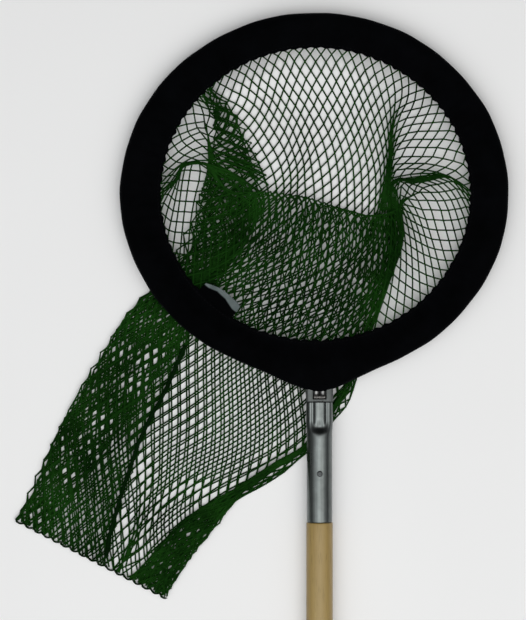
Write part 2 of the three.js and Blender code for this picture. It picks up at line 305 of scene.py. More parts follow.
def label_cloth():
    """Woven satin, dark at its seam and pale beyond. V counts outward from where the pale part starts."""
    made = Shader("label_cloth", Specular_IOR_Level=0.02, Roughness=0.8)
    rib = made.wave(0.5 * MM, 0.32, "X")
    stain = made.noise(made.place(), 90.0, 5.0)
    pale = made.ramp(stain, (0.3, (0.075, 0.094, 0.095)), (0.7, (0.145, 0.172, 0.172)))
    out = made.node("SeparateXYZ", {"Vector": made.place(source="UV")}).outputs["Y"]
    share = made.maths("MULTIPLY", out, 1 / (1.2 * MM))  # the change takes 1.2 mm
    dark = (0.0004, 0.0005, 0.0008, 1)
    mixed = made.node("Mix", {"Factor": share, "A": dark, "B": pale}, data_type="RGBA")
    made.set("Base Color", mixed.outputs["Result"])
    made.bump(rib, 0.06 * MM, 0.5)
    return made.material


def steel(name, dark, light, rough_low, rough_high, streak=1.0, metallic=1.0):
    """Drawn steel: long fine streaks along Y, dull patches and small scratches."""
    made = Shader(name, Metallic=metallic)
    streaks = made.noise(made.place((streak * 900, 12, streak * 900)), 1.0, 6.0)
    patch = made.noise(made.place(), 55.0, 6.0, 0.65)
    pits = made.noise(made.place(), 1400.0, 2.0)
    mixed = made.blend(streaks, 0.45, patch, 0.55)
    made.set("Base Color", made.ramp(mixed, (0.3, dark), (0.7, light)))
    made.set("Roughness", made.ramp(mixed, (0.3, rough_high), (0.7, rough_low)))
    made.bump(made.maths("ADD", streaks, made.maths("MULTIPLY", pits, 0.5)), 0.03 * MM, 0.6)
    return made.material


def handle_wood():
    """Pale varnished hardwood with fine lengthwise grain and short dark pores."""
    made = Shader("handle_wood", Specular_IOR_Level=0.4, Coat_Weight=0.18, Coat_Roughness=0.3)
    bands = made.noise(made.place((150, 3.5, 150)), 1.0, 6.0, 0.6)
    pores = made.noise(made.place((1500, 60, 1500)), 1.0, 3.0)
    broad = made.noise(made.place((30, 2.0, 30)), 1.0, 2.0)
    tone = made.blend(bands, 0.6, broad, 0.4)
    late, middle, early = (0.262, 0.172, 0.050), (0.318, 0.217, 0.069), (0.368, 0.262, 0.093)
    grain = made.ramp(tone, (0.32, late), (0.5, middle), (0.68, early))
    dark = made.ramp(pores, (0.3, 0.62), (0.42, 1.0))
    inputs = {"Factor": 1.0, "A": grain, "B": dark}
    mixed = made.node("Mix", inputs, data_type="RGBA", blend_type="MULTIPLY")
    made.set("Base Color", mixed.outputs["Result"])
    made.set("Roughness", made.ramp(pores, (0.3, 0.6), (0.6, 0.42)))
    made.bump(pores, 0.05 * MM, 0.5)
    return made.material


def cell_foam():
    """Dark closed-cell padding."""
    made = Shader("cell_foam", Roughness=0.95, Specular_IOR_Level=0.15)
    cells = made.node("TexVoronoi", {"Vector": made.place(), "Scale": 900.0}).outputs["Distance"]
    made.set("Base Color", made.ramp(cells, (0.0, (0.012, 0.012, 0.013)), (0.8, (0.035, 0.035, 0.038))))
    made.bump(cells, 0.3 * MM)
    return made.material


def floor_paint():
    """Pale matt paint, very slightly uneven."""
    made = Shader("floor_paint", Roughness=0.9, Specular_IOR_Level=0.1)
    tone = made.noise(made.place(), 3.0, 2.0)
    made.set("Base Color", made.ramp(tone, (0.3, 0.87), (0.7, 0.89)))
    return made.material


COVER_CLOTH = cover_cloth()
SEAM_THREAD = seam_thread()
NETTING = net_twine("netting_twine", (0.0012, 0.0092, 0.0008), (0.0105, 0.0570, 0.0058))
LACING = net_twine("lacing_twine", (0.0006, 0.0050, 0.0005), (0.003, 0.0170, 0.0024))
LABEL = label_cloth()
PLATED = steel("plated_steel", (0.085, 0.095, 0.092), (0.190, 0.208, 0.204), 0.24, 0.38)
COLLAR_STEEL = steel("collar_steel", (0.060, 0.066, 0.064), (0.130, 0.142, 0.138), 0.48, 0.62, metallic=0.6)
ROD_STEEL = steel("rod_steel", (0.26, 0.26, 0.26), (0.52, 0.52, 0.51), 0.25, 0.45)
WELD = steel("weld_steel", (0.10, 0.095, 0.09), (0.45, 0.44, 0.42), 0.35, 0.6, streak=0.3)
SCREW = steel("screw_steel", (0.03, 0.032, 0.035), (0.16, 0.17, 0.17), 0.35, 0.55, streak=0.3)
WOOD = handle_wood()
FOAM = cell_foam()


# ---- camera, light and floor ----
SOFTBOX_SIDE = 2.0
FLOOR_HALF_SIDE = 14.0


def camera():
    """Straight down on the hoop, with the handle running out of the lower edge of the view."""
    distance = 2.4
    view_height = 0.620  # metres of floor from the view's lower edge to its upper edge
    view = bpy.data.cameras.new("camera")
    view.sensor_fit = "VERTICAL"
    view.lens = view.sensor_height * distance / view_height
    view.clip_start = 0.05
    placed = bpy.data.objects.new("camera", view)
    hoop_above_centre = 116 * MM
    hoop_right_of_centre = 52.5 * MM
    placed.location = (HOOP_X - hoop_right_of_centre, HOOP_Y - hoop_above_centre, distance)
    bpy.context.scene.collection.objects.link(placed)
    bpy.context.scene.camera = placed


def softbox(name, place, target, watts, colour):
    """A large square area lamp, turned to the target."""
    lamp = bpy.data.lights.new(name, "AREA")
    lamp.size = SOFTBOX_SIDE
    lamp.energy = watts
    lamp.color = colour
    placed = bpy.data.objects.new(name, lamp)
    placed.location = place
    direction = np.array(target) - np.array(place)
    placed.rotation_euler = Vector(direction.tolist()).to_track_quat("-Z", "Y").to_euler()
    bpy.context.scene.collection.objects.link(placed)


def sky_ramp(tree, value, first, last):
    """A ramp in the world's nodes between two (position, colour) stops."""
    made = tree.nodes.new("ShaderNodeValToRGB")
    tree.links.new(value, made.inputs["Fac"])
    for element, (position, colour) in zip(made.color_ramp.elements, (first, last)):
        element.position = position
        element.color = (*colour, 1)
    return made.outputs["Color"]


def studio():
    """A bright ceiling over darker walls, so that round steel has dark flanks and a light ridge.
    The wall beyond the hoop is the darkest one. Two softboxes hang overhead."""
    world = bpy.data.worlds.new("studio")
    world.use_nodes = True
    tree = world.node_tree
    background = tree.nodes["Background"]
    background.inputs["Strength"].default_value = 1.2
    toward = tree.nodes.new("ShaderNodeSeparateXYZ")
    tree.links.new(tree.nodes.new("ShaderNodeTexCoord").outputs["Generated"], toward.inputs["Vector"])
    white = (1.0, 1.0, 1.0)
    by_height = sky_ramp(tree, toward.outputs["Z"], (0.28, (0.075, 0.08, 0.08)), (1.0, white))
    by_depth = sky_ramp(tree, toward.outputs["Y"], (0.25, white), (0.6, (0.2, 0.2, 0.2)))
    shade = tree.nodes.new("ShaderNodeVectorMath")
    shade.operation = "MULTIPLY"
    tree.links.new(by_height, shade.inputs[0])
    tree.links.new(by_depth, shade.inputs[1])
    tree.links.new(shade.outputs["Vector"], background.inputs["Color"])
    bpy.context.scene.world = world
    bpy.context.scene.view_settings.view_transform = "Standard"
    middle = (HOOP_X, HOOP_Y - 0.15, 0)
    softbox("key", (0.45, 0.1, 2.0), middle, 13, (1.0, 0.99, 0.97))
    softbox("fill", (-0.7, -0.1, 2.0), middle, 9, (0.95, 0.98, 1.0))
    side = FLOOR_HALF_SIDE
    corners = [(-side, -side, FLOOR), (side, -side, FLOOR), (side, side, FLOOR), (-side, side, FLOOR)]
    mesh_object("floor", corners, [(0, 1, 2, 3)], floor_paint())


# ---- padded hoop ----
NECK_BUMP = 15 * MM  # how far the cover is drawn down towards the collar
NECK_SPREAD = 28 * MM
SEAM_HALF = 1.7 * MM  # half the thickness of the sewn flange at the inner edge
FLANGE = 4.5 * MM  # the flange's width
LABEL_LENGTH = 43 * MM


def on_hoop(angle, radius, z=0.0):
    """Points at angles round the hoop, at a radius before the oval is flattened."""
    x = HOOP_X + radius * np.cos(angle)
    y = HOOP_Y + SQUASH * radius * np.sin(angle)
    return np.stack(np.broadcast_arrays(x, y, z), axis=-1)


def drawn_to_neck(points, share):
    """Pulls points at the hoop's near side down to the collar, by a share from 0 to 1 of the neck's bump."""
    points = points.copy()
    near = points[..., 1] < HOOP_Y
    pull = NECK_BUMP * np.exp(-(points[..., 0] ** 2) / (2 * NECK_SPREAD**2)) * near
    points[..., 1] -= pull * share
    return points


def padded_cover():
    """The cover's tube round the foam: a teardrop section, thin, sewn and puckered at the inner edge."""
    around, across = 1080, 44
    angle = np.linspace(0, 2 * np.pi, around, endpoint=False)[:, None]
    turn = np.linspace(0, 2 * np.pi, across, endpoint=False)[None, :]
    # The inner edge has a shallow scallop to each mesh.
    inner = OPENING + 0.5 * MM * ripple(angle, (83, 97, 41, 29), 11) + 0.75 * MM * np.cos(COLUMNS * angle)
    outer = COVER_OUTER - 0.8 * MM + 0.7 * MM * ripple(angle, (5, 9, 14, 19, 31), 12)
    outer = outer - 1.2 * MM * np.exp(-((angle - np.pi / 2) ** 2) / 0.6)
    outer = outer + 2.6 * MM * np.exp(-((angle - np.pi) ** 2) / 0.35)
    # In the section, u runs from 0 at the inner edge to 1 at the outer one.
    u = (1 - np.cos(turn)) / 2
    radius = inner + (outer - inner) * u
    swell = (1 - (1 - u) ** 1.5) ** 1.05 * np.sqrt(np.clip(1 - u**3.4, 0, 1)) / 0.76
    flange = np.clip((radius - inner) / FLANGE, 0, 1)
    rise = np.clip((radius - inner - FLANGE) / (14 * MM), 0, 1)
    half = SEAM_HALF * np.sqrt(np.clip(flange * 4, 0, 1))
    half = half + (COVER_DEPTH - SEAM_HALF - 0.6 * MM) * swell * rise**0.55
    half = half * np.sqrt(np.clip((1 - u) * 30, 0, 1))
    pucker = ripple(angle, (88, 61, 107, 133), 13) * np.exp(-((radius - inner) / (15 * MM)))
    crease = ripple(angle + 0.02 * np.sin(3 * turn), (23, 37, 52, 71), 14) * np.sin(np.pi * u)
    slack = ripple(angle + 0.5 * u, (7, 11, 17), 15) * np.sin(np.pi * u)
    top = np.sign(np.sin(turn))
    half = half + (0.8 * pucker + 0.45 * crease + 0.5 * slack) * MM * np.clip(half / (6 * MM), 0, 1)
    # At the neck the cover closes in on the collar.
    x = HOOP_X + radius * np.cos(angle)
    neck = np.exp(-((x / (19 * MM)) ** 4)) * (np.sin(angle) < 0) * smoothstep(u, 0.5, 0.85)
    hem = np.clip(1 - (np.clip(u - 0.93, 0, 1) / 0.07) ** 4, 0, 1) ** 0.5
    half = half * (1 - neck) + (collar_high.z + 2.2 * MM) * hem * neck
    points = drawn_to_neck(on_hoop(angle, radius, half * top), u**1.5)
    mean_radius, section_radius = 175 * MM, 14 * MM
    length = np.broadcast_to(angle * mean_radius, points.shape[:2])
    width = np.broadcast_to(turn * section_radius, points.shape[:2])
    uv = np.stack([length, width], axis=-1).reshape(-1, 2)
    faces = grid_faces(around, across, wrap_rows=True, wrap_columns=True)
    cover = fix_normals(mesh_object("padded_cover", points.reshape(-1, 3), faces, COVER_CLOTH, uv))
    smooth = cover.modifiers.new("smooth", "SMOOTH")
    smooth.iterations = 2
    apply_modifiers(cover)
    return settle(cover, "black_fabric", "hoop_cover", "binding_tape")


def stitch_line():
    """Lockstitches round the flange, top and bottom, each a short thread that dips into the cloth."""
    count, sides, steps = 250, 6, 5
    vertices, faces = [], []
    for face_side in (1, -1):
        for k in range(count):
            middle = 2 * math.pi * (k + 0.5) / count
            span = 2 * math.pi / count * 0.36
            base = len(vertices)
            for i in range(steps):
                t = i / (steps - 1)
                angle = middle + span * (2 * t - 1)
                hump = math.sin(math.pi * t)
                height = face_side * (SEAM_HALF + (0.35 * hump - 0.25) * MM)
                thick = (0.12 + 0.22 * hump) * MM
                for j in range(sides):
                    turn = 2 * math.pi * j / sides
                    radius = OPENING + 3.1 * MM + thick * math.cos(turn)
                    vertices.append(tuple(on_hoop(angle, radius, height + thick * math.sin(turn))))
            rings = grid_faces(steps, sides, wrap_columns=True)
            faces += [tuple(base + n for n in f) for f in rings]
            faces.append(tuple(range(base, base + sides)))
            faces.append(tuple(base + (steps - 1) * sides + j for j in reversed(range(sides))))
    stitches = fix_normals(mesh_object("flange_stitches", vertices, faces, SEAM_THREAD))
    return settle(stitches, "black_fabric")


def neck_hem():
    """The cover's rolled hem where the collar goes into it."""
    half_x = (collar_high.x - collar_low.x) / 2 + 1.2 * MM
    half_z = collar_high.z + 1.2 * MM
    angle = np.linspace(0, 2 * np.pi, 120)
    corner = 0.55  # below 1, an oval's corners fill out towards a rectangle's
    x = half_x * np.sign(np.cos(angle)) * np.abs(np.cos(angle)) ** corner
    z = half_z * np.sign(np.sin(angle)) * np.abs(np.sin(angle)) ** corner
    y = cover_low.y + 0.9 * MM + 0.4 * MM * np.sin(9 * angle)
    sides = 10
    turn = np.linspace(0, 2 * np.pi, sides, endpoint=False)
    out = np.stack([np.cos(angle), np.zeros_like(angle), np.sin(angle)], axis=-1)
    path = np.stack([x, y, z], axis=-1)[:-1]
    radius = 1.5 * MM
    along = np.array([0.0, 1.0, 0.0])
    ring = np.cos(turn)[None, :, None] * out[:-1, None] + np.sin(turn)[None, :, None] * along
    vertices = (path[:, None] + radius * ring).reshape(-1, 3)
    faces = grid_faces(len(path), sides, wrap_rows=True, wrap_columns=True)
    hem = fix_normals(mesh_object("neck_hem", vertices, faces, COVER_CLOTH, np.zeros((len(vertices), 2))))
    return settle(hem, "black_fabric")


def blank_label():
    """A blank woven label sewn under the flange at the near left: its root is dark, its free end pale."""
    around, across = 60, 20
    t = np.linspace(0, 1, around)[:, None]
    s = np.linspace(0, 1, across)[None, :]
    angle = np.radians(221 + 16.5 * t + 0.6 * s * (t - 0.5))
    shares = (0, 0.12, 0.33, 0.6, 0.88, 1)
    root = OPENING + 1.0 * MM
    free = np.interp(t, shares, (144.5, 141.5, 137.6, 137.2, 138.6, 141)) * MM
    pale_from = np.interp(t, shares, (147, 146.3, 142.8, 143.4, 148, 148.5)) * MM
    radius = root + (free - root) * s
    z = 0.6 * MM + (1.4 * s + 1.0 * s * np.sin(7 * t + 0.6) + 0.4 * s * np.sin(17 * t)) * MM
    sheet = on_hoop(angle, radius, z).reshape(-1, 3)
    uv = np.stack(np.broadcast_arrays(t * LABEL_LENGTH, pale_from - radius), axis=-1).reshape(-1, 2)
    label = mesh_object("blank_label_cloth", sheet, grid_faces(around, across), LABEL, uv)
    thick = label.modifiers.new("thickness", "SOLIDIFY")
    thick.thickness = 0.35 * MM
    apply_modifiers(label)
    # Its area is less than the rectangle's, as its free end is curved.
    return settle(label, "label_fabric", "blank_label")


def hoop_rod():
    """The steel rod's two straight shanks, its bend at the neck, and the hoop itself."""
    foot = HOOP_Y - SQUASH * ROD_CIRCLE
    half_gap = 3.3 * MM  # half the distance between the shanks' centre lines
    first, last = math.radians(-83), math.radians(262)  # where the hoop proper starts and ends
    t = np.linspace(0, 1, 14)[:, None]

    def shank(side, hoop_angle):
        start = np.array([side * half_gap, foot - 14 * MM, 0])
        corner = np.array([side * half_gap, foot - 1 * MM, 0])
        end = on_hoop(hoop_angle, ROD_CIRCLE)
        bend = (1 - t) ** 2 * start + 2 * t * (1 - t) * corner + t**2 * end
        return np.vstack([[side * half_gap, rod_low.y, 0], bend])

    ring = on_hoop(np.linspace(first, last, 242)[1:-1], ROD_CIRCLE)
    path = np.vstack([shank(1, first), ring, shank(-1, last)[::-1]])
    return settle(swept("hoop_rod_fine", path, ROD_RADIUS, ROD_STEEL, 20), "rod_steel", "hoop_rod")


# ---- steel and wood ----
FERRULE_WALL = 1.2 * MM


def ferrule():
    """A drawn tube, its upper end pressed over the shanks: side lobes, two grooves, a ridge and a dimple."""
    low, high = ferrule_low.y, ferrule_high.y
    press_start = high - 32 * MM
    press_ramp = 13 * MM
    body = np.linspace(low + 1.5 * MM, high - 0.6 * MM, 190)
    y = np.concatenate([[low, low + 0.25 * MM, low + 0.7 * MM], body, [high]])
    angle = np.linspace(0, 2 * np.pi, 144, endpoint=False)
    radius = np.full(len(y), FERRULE_RADIUS)
    radius[:3] -= np.array([0.55, 0.2, 0.04]) * MM
    radius[-1] -= 0.3 * MM
    inner = np.full(len(y), FERRULE_RADIUS - FERRULE_WALL)
    rings_y = np.concatenate([y, y[::-1]])[:, None]
    rings_radius = np.concatenate([radius, inner])[:, None]
    x = rings_radius * np.cos(angle)
    z = rings_radius * np.sin(angle)
    pressed = smoothstep(rings_y, press_start, press_start + press_ramp)
    groove = np.exp(-(((np.abs(x) - 6.6 * MM) / (2.0 * MM)) ** 2))
    middle = np.exp(-((x / (6 * MM)) ** 2))
    dimple = 0.3 * np.exp(-(((rings_y - press_start - 6 * MM) / (4.5 * MM)) ** 2)) * middle
    z = z * (1 - pressed * (0.22 + 0.14 * middle + 0.2 * groove) - dimple)
    x = x * (1 + PRESS_SPREAD * pressed)
    points = np.stack([x, np.broadcast_to(rings_y, x.shape), z], axis=-1).reshape(-1, 3)
    faces = grid_faces(2 * len(y), len(angle), wrap_rows=True, wrap_columns=True)
    tube = fix_normals(mesh_object("pressed_ferrule", points, faces, PLATED))
    return settle(tube, "plated_steel", "ferrule")


def collar():
    """The block that holds the shanks, with the corners and notch that the CAD gives it."""
    block = worn_copy("neck_collar", "neck_collar_worn", COLLAR_STEEL, 0.32 * MM, 5)
    return settle(block, "plated_steel", "neck_collar")


def weld():
    """The weld bead, with the ripples that a hand-fed rod leaves."""
    bead = worn_copy("weld_bead", "weld_bead_rippled", WELD, 0.22 * MM, 2)
    flat = np.empty(len(bead.data.vertices) * 3)
    bead.data.vertices.foreach_get("co", flat)
    points = flat.reshape(-1, 3)
    centre = points.mean(axis=0)
    along = (points[:, 0] - centre[0]) / MM
    rippled = 1 + 0.13 * np.cos(along * 3.6) + 0.08 * np.sin(along * 1.3)
    points[:, 1:] = centre[1:] + (points[:, 1:] - centre[1:]) * rippled[:, None]
    bead.data.vertices.foreach_set("co", points.astype(np.float32).ravel())
    bead.data.update()
    return settle(bead, "rod_steel", "weld_bead")


def screw():
    """The small slotted fastener through the ferrule."""
    head = worn_copy("handle_screw", "handle_screw_worn", SCREW, 0.13 * MM, 3)
    return settle(head, "screw_steel", "handle_screw")


def handle():
    """The dowel, a little wider than the ferrule, with a rounded butt and a tenon inside the ferrule."""
    shoulder = ferrule_low.y - 0.3 * MM
    top = handle_high.y
    tenon = 11.1 * MM
    chamfer = 2 * MM
    r = HANDLE_RADIUS
    profile = [(0, 0), (r - 3.2 * MM, 0)]
    for a in np.linspace(0.05, np.pi / 2, 9):
        profile.append((r - (3 - 3 * math.sin(a)) * MM, (3 - 3 * math.cos(a)) * MM))
    profile += [(r, y) for y in np.linspace(0.02, shoulder - 1.2 * MM, 40)]
    profile += [(r - 0.25 * MM, shoulder - 0.35 * MM), (r - 0.8 * MM, shoulder)]
    profile += [(tenon, shoulder), (tenon, top - chamfer), (tenon - chamfer, top), (0, top)]
    return settle(turned("dowel_handle", profile, WOOD), "handle_wood", "handle")


# ---- net bag ----
HALF_ROWS = 64  # rows of joints below the mouth, half a mesh apart
TAIL_ROWS = 29  # the last half rows, which lie flat beside the hoop
BAR = 10.4 * MM  # one side of a mesh, between two joints
TWINE = 0.74 * MM  # the twine's radius
BEAD_HALF = np.array([1.75, 1.05, 0.95]) * MM  # a joint's half sizes: along the bag, across it, and up
MOUTH_ANGLE = 90  # where column 0 is, in degrees round the hoop
PLY = 1.1 * MM  # how far one ply lies above the next in the open
FLOOR_GAP = 0.85 * MM  # how high the lowest joints lie, so that their beads clear the floor
SWAY = 0.9 * MM  # how far the lowest ply wanders from its guides
MOUTH_REACH = 1.5  # mm from the binding's inner edge out to the cord that the top row hangs on
MOUTH_HEIGHT = 14.2  # mm from the floor, before the ply's own height
DROP_RUN = 17  # mm in plan in which the net drops from the hoop to the floor
PATH_STEPS = 24  # steps along a curve between two of its points

# The part of the bag beside the hoop has its own axes: along it from its bottom seam, and across it.
# Here, and in the folds and paths below, lengths are in mm and places are counted from the hoop's centre.
TAIL_CORNER = np.array([-301, -325])
TAIL_ACROSS = np.array([0.888, -0.460])
TAIL_ALONG = np.array([0.460, 0.888])
TAIL_LENGTH = 270

# Where each edge and fold lies across the tail, at some places along it.
TAIL_PLACES = {
    "left": [(0, 0), (104, -7), (159, -2), (232, 0), (270, 13)],
    "inner_fold": [(0, 39), (270, 74)],
    "seam_fold": [(0, 106), (90, 84), (125, 77), (175, 79), (237, 76), (270, 74)],
    "after_seam": [(0, 118), (90, 96), (125, 89), (175, 91), (237, 88), (270, 86)],
    "middle": [(0, 80), (270, 80)],
    "before_right": [(0, 114), (18, 119), (82, 136), (129, 170), (195, 210), (270, 220)],
    "right_fold": [(0, 126), (18, 131), (82, 148), (129, 182), (195, 222), (270, 232)],
    "right": [
        (0, 171), (17, 175), (46, 178), (107, 188), (125, 191),
        (141, 198), (193, 227), (228, 233), (270, 238),
    ],
    "flap": [
        (0, 171), (17, 175), (46, 178), (107, 189), (131, 201),
        (149, 214), (171, 231), (186, 234), (223, 243), (270, 247),
    ],
}

# Columns are named by their share of the mouth, in degrees counted from the hoop's +X side like an angle.
# The tail's folds in that order: the fold's share at the bottom seam, its share at the tail's other end,
# its place across the tail, and its ply counted up from the floor.
TAIL_FOLDS = [
    (90, 90, "middle", 0),
    (123.3, 117.9, "left", 0),
    (139.5, 149.8, "inner_fold", 1),
    (155.8, 181.7, "left", 2),
    (205, 205, "seam_fold", 3),
    (240, 245.6, "left", 4),
    (280, 278, "after_seam", 1.4),
    (294, 336, "before_right", 1.4),
    (307, 343, "right", 4.6),
    (325, 349, "right_fold", 4.0),
    (343, 355, "right", 3.4),
    (361, 361.5, "right_fold", 2.8),
    (379, 368, "right", 2.2),
    (398, 374, "right_fold", 1.6),
    (416.3, 380.5, "flap", 0.5),
]
SEAM_SHARE = 205

# The way some columns take from the hoop to the tail: the column's share; the angle where it leaves the hoop;
# the points it passes, with their height above the floor; and where its slack gathers (the point's number,
# how much slack, and over what length).
HOOP_PATHS = [
    (90, 90, [(2, 60, 1), (-18, 0, 1)], None),
    (106, 107, [(-34, 80, 1), (-36, 20, 1), (-80, -60, 1)], None),
    (117.9, 119, [(-62, 80, 1.2), (-74, 25, 1.2), (-122, -50, 1.2)], None),
    (125, 126.5, [(-84, 86, 1.4), (-96, 40, 1.4), (-112, -10, 1.4), (-122, -56, 1.4)], None),
    (131, 132, [(-110, 87, 2), (-114, 48, 2), (-104, 10, 2), (-94, -40, 2)], (1, 60, 60)),
    (139, 134, [(-81, 88, 3), (-54, 50, 3.5), (-40, 22, 3.5), (-30, 3, 3.5), (-64, -46, 3)], (2, 60, 60)),
    (146, 136, [(-109, 84, 4), (-112, 48, 4), (-98, 14, 4), (-84, -40, 3.5)], (1, 60, 60)),
    (153, 137.5, [(-81, 86, 5), (-52, 48, 5.5), (-38, 20, 5.5), (-30, 3, 5.5), (-62, -46, 4)], (2, 60, 60)),
    (162, 141, [(-108, 80, 6.5), (-107, 45, 6.5), (-76, 14, 6), (-88, -40, 4)], (1, 80, 60)),
    (174, 158,
     [(-110, 60, 6), (-104, 34, 6), (-112, 9, 6), (-125, -6, 6), (-127, -26, 5), (-145, -44, 4)],
     (2, 90, 60)),
    (183, 170, [(-136, 34, 8), (-118, 35, 7.5), (-102, 29, 7), (-66, 10, 6), (-86, -46, 4)], (3, 60, 60)),
    (188, 175,
     [(-138, 28, 8), (-131, 32.5, 8), (-117, 33, 7.5), (-100, 26, 7), (-60, 4, 6), (-84, -48, 4)],
     (2, 60, 70)),
    (193, 178.5,
     [(-140, 17, 8.5), (-133, 30, 8), (-117, 32, 7.5), (-98, 24, 7), (-56, 2, 6), (-62, -50, 4)],
     (1, 60, 70)),
    (198, 180.5,
     [(-140, 15, 9), (-132, 29, 8.5), (-116, 31.5, 8), (-96, 20, 7), (-70, 2, 6), (-100, -46, 5)],
     (1, 60, 70)),
    (203, 182.5,
     [(-139, 13, 9), (-131, 28, 8.5), (-115, 31, 8), (-98, 18, 7),
      (-120, -4, 6), (-125, -26, 6), (-143, -44, 5)],
     (1, 60, 70)),
    (208, 186,
     [(-138, 10, 9), (-130, 26, 8.5), (-113, 30, 8), (-96, 14, 7), (-100, -10, 6), (-120, -46, 5.5)],
     (2, 60, 70)),
    (214, 195, [(-126, 4, 9), (-104, 12, 8), (-84, -4, 7), (-96, -46, 6)], (2, 60, 50)),
    (228, 214, [(-104, -30, 9), (-66, 4, 8), (-70, -50, 5)], (1, 70, 50)),
    (244.9, 233, [(-66, -46, 9), (-44, 2, 8), (-84, -60, 5)], (1, 50, 30)),
    (260.9, 250, [(-16, -2, 9), (-40, -70, 5)], (0, 45, 16)),
    (282.7, 273, [(18, -11, 9), (0, -80, 5)], (0, 45, 14)),
    (300.6, 292, [(50, -21, 9), (30, -90, 5)], (0, 45, 14)),
    (318.6, 311, [(72, -20, 9), (62, -90, 5)], (0, 45, 14)),
    (331.8, 325, [(84, -14, 9), (80, -70, 5)], (0, 45, 16)),
    (343, 337.7, [(96, -1, 9), (84, -12, 8), (84, -60, 5)], (1, 45, 20)),
    (349, 345, [(122, 5, 9), (94, -2, 8.5), (83, -12, 8), (85, -60, 4.5)], (1, 50, 40)),
    (353, 350, [(134, 9, 9), (122, 9.5, 9), (98, 0, 8.5), (84, -8, 8), (85, -60, 4.3)], (2, 60, 60)),
    (357, 354,
     [(140, 9, 9), (131, 15, 8.8), (117, 15, 8.5), (98, 10, 8), (79, 3, 7), (84, -60, 4)],
     (3, 60, 70)),
    (361, 356.5,
     [(141, 10, 9), (134, 16, 8.5), (120, 17, 8.5), (100, 12, 8), (78, 6, 7), (83, -60, 4)],
     (3, 60, 70)),
    (365, 358.5,
     [(142, 11, 9), (134, 17.5, 8.5), (120, 18, 8), (100, 13, 7.5), (77, 7.5, 6.5), (82, -60, 3.5)],
     (3, 60, 70)),
    (370, 361,
     [(142, 13, 8.5), (134, 19, 8.5), (120, 19.5, 7.5), (99, 14, 7), (76, 8.5, 6), (80, -60, 3)],
     (3, 60, 70)),
    (376, 367, [(138, 20, 8), (118, 22, 7), (97, 15.5, 6.5), (76, 9.5, 5.8), (79, -60, 2.8)], (2, 50, 60)),
    (382, 377, [(120, 32, 7), (76, 12, 5.5), (78, -60, 2.5)], (1, 35, 20)),
    (394.2, 391, [(82, 46, 5), (74, 8, 4), (70, -60, 2)], (1, 20, 20)),
    (407.5, 405, [(79, 70, 4), (72, 10, 3), (50, -60, 1.5)], None),
    (418.8, 417, [(75.5, 77, 3), (69, 10, 2), (34, -60, 1)], None),
    (435.8, 435, [(40, 70, 1), (26, 0, 1)], None),
]


def smooth_path(points, count, gather=None):
    """count points along a Catmull-Rom curve through the given ones, even but where slack gathers."""
    points = np.asarray(points, dtype=float)
    padded = np.vstack([2 * points[0] - points[1], points, 2 * points[-1] - points[-2]])
    dense = []
    t = np.linspace(0, 1, PATH_STEPS, endpoint=False)[:, None]
    for a, b, c, d in zip(padded, padded[1:], padded[2:], padded[3:]):
        curve = 2 * b + (c - a) * t + (2 * a - 5 * b + 4 * c - d) * t**2
        dense.append(0.5 * (curve + (3 * b - a - 3 * c + d) * t**3))
    dense = np.vstack([*dense, points[-1:]])
    length = np.concatenate([[0], np.cumsum(np.linalg.norm(np.diff(dense, axis=0), axis=1))])
    if gather:
        spot, slack, spread = gather
        middle = length[PATH_STEPS * spot]
        length = length + slack * smoothstep(length, middle - spread / 2, middle + spread / 2)
    at = np.linspace(0, length[-1], count)
    return np.stack([np.interp(at, length, dense[:, k]) for k in range(dense.shape[1])], axis=-1)


def tail_row(row, share):
    """Where columns lie in a row of the tail counted from the bottom seam: x, y, height and ply."""
    up = row / TAIL_ROWS
    along = up * TAIL_LENGTH
    shares = [bottom + (top - bottom) * up for bottom, top, _, _ in TAIL_FOLDS]
    across = [np.interp(along, *zip(*TAIL_PLACES[place])) for _, _, place, _ in TAIL_FOLDS]
    plies = [ply for _, _, _, ply in TAIL_FOLDS]
    shares.append(shares[0] + 360)
    across.append(across[0])
    plies.append(plies[0])
    share = MOUTH_ANGLE + (np.asarray(share) - MOUTH_ANGLE) % 360
    flat = TAIL_CORNER + along * TAIL_ALONG + np.interp(share, shares, across)[:, None] * TAIL_ACROSS
    ply = np.interp(share, shares, plies)
    return np.stack([flat[:, 0], flat[:, 1], np.zeros_like(ply), ply], axis=-1)


def hoop_paths():
    """The guiding columns' paths from the hoop to the tail's first row: x, y, height and ply, row by row."""
    paths = []
    radius = OPENING / MM + MOUTH_REACH
    for share, angle, vias, gather in HOOP_PATHS:
        a = math.radians(angle)
        end = tail_row(TAIL_ROWS, [share])[0]
        start = np.array([radius * math.cos(a), SQUASH * radius * math.sin(a)])
        toward = np.array(vias[0][:2]) - start
        # The net drops from the hoop within a few meshes, before its first fold.
        drop = start + DROP_RUN * toward / np.linalg.norm(toward)
        route = [(*start, MOUTH_HEIGHT, end[3]), (*drop, vias[0][2], end[3])]
        route += [(x, y, height, end[3]) for x, y, height in vias]
        route.append(tuple(end))
        if gather:
            # Its place counts from the first point passed, which the start and the drop come before.
            gather = (gather[0] + 2, gather[1], gather[2])
        paths.append(smooth_path(route, HALF_ROWS - TAIL_ROWS + 1, gather))
    return np.array([*paths, paths[0]])


def cover_underside(x, y):
    """The height of the cover's, ferrule's or collar's underside over a point, or 1 m where there is none."""
    radius = np.hypot(x - HOOP_X, (y - HOOP_Y) / SQUASH)
    middle = OPENING + 0.62 * (COVER_OUTER - OPENING)
    ring = np.clip(1 - ((radius - middle) / (0.5 * (COVER_OUTER - OPENING) + 2 * MM)) ** 2, 0, 1)
    under_ring = np.where(ring > 0, -COVER_DEPTH * np.sqrt(ring), 1.0)
    tube = np.where((np.abs(x) < 15 * MM) & (y < cover_low.y + 10 * MM), ferrule_low.z, 1.0)
    return np.minimum(under_ring, tube)


